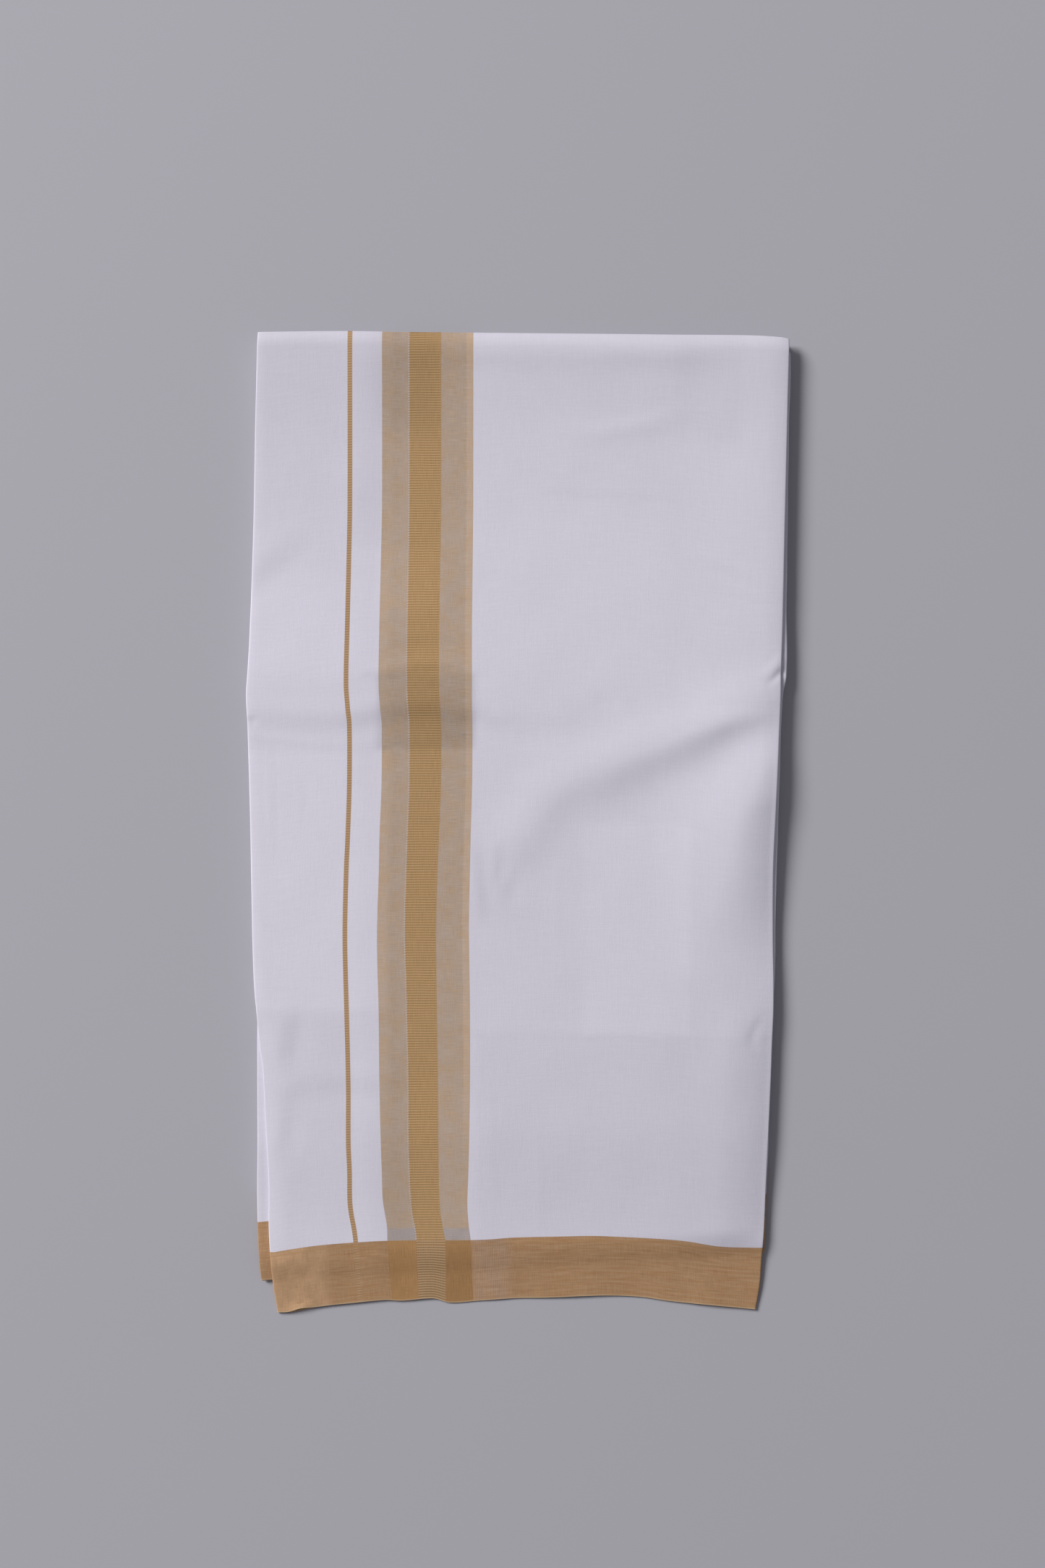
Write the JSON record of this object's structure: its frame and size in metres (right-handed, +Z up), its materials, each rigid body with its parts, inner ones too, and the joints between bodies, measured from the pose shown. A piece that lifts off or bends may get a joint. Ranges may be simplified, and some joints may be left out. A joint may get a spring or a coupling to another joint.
{
  "type": "folded dhoti cloth",
  "caption": "White cotton dhoti folded flat into a long stack of leaves, with a gold border along the hem and a gold and tan band across it.",
  "frame": {"origin": "on the surface under the stack, in the middle of its footprint", "axes": "+Y towards the long fold, away from the gold border along the hem; +X towards the folds at the right; +Z up"},
  "size_m": [0.356, 0.6436, 0.0121],
  "materials": {
    "top_leaf": "fine matt white cotton with gold border, gold line and gold and tan bands",
    "lower_leaf": "fine matt white cotton with gold border",
    "hidden_leaves": "fine matt white cotton, seen at the folded edges",
    "bottom_leaf": "fine matt white cotton with gold border"
  },
  "bodies": {
    "root": {"top_leaf": "top_leaf", "lower_leaf": "lower_leaf", "hidden_leaves": "hidden_leaves", "bottom_leaf": "bottom_leaf"}
  },
  "joints": []
}
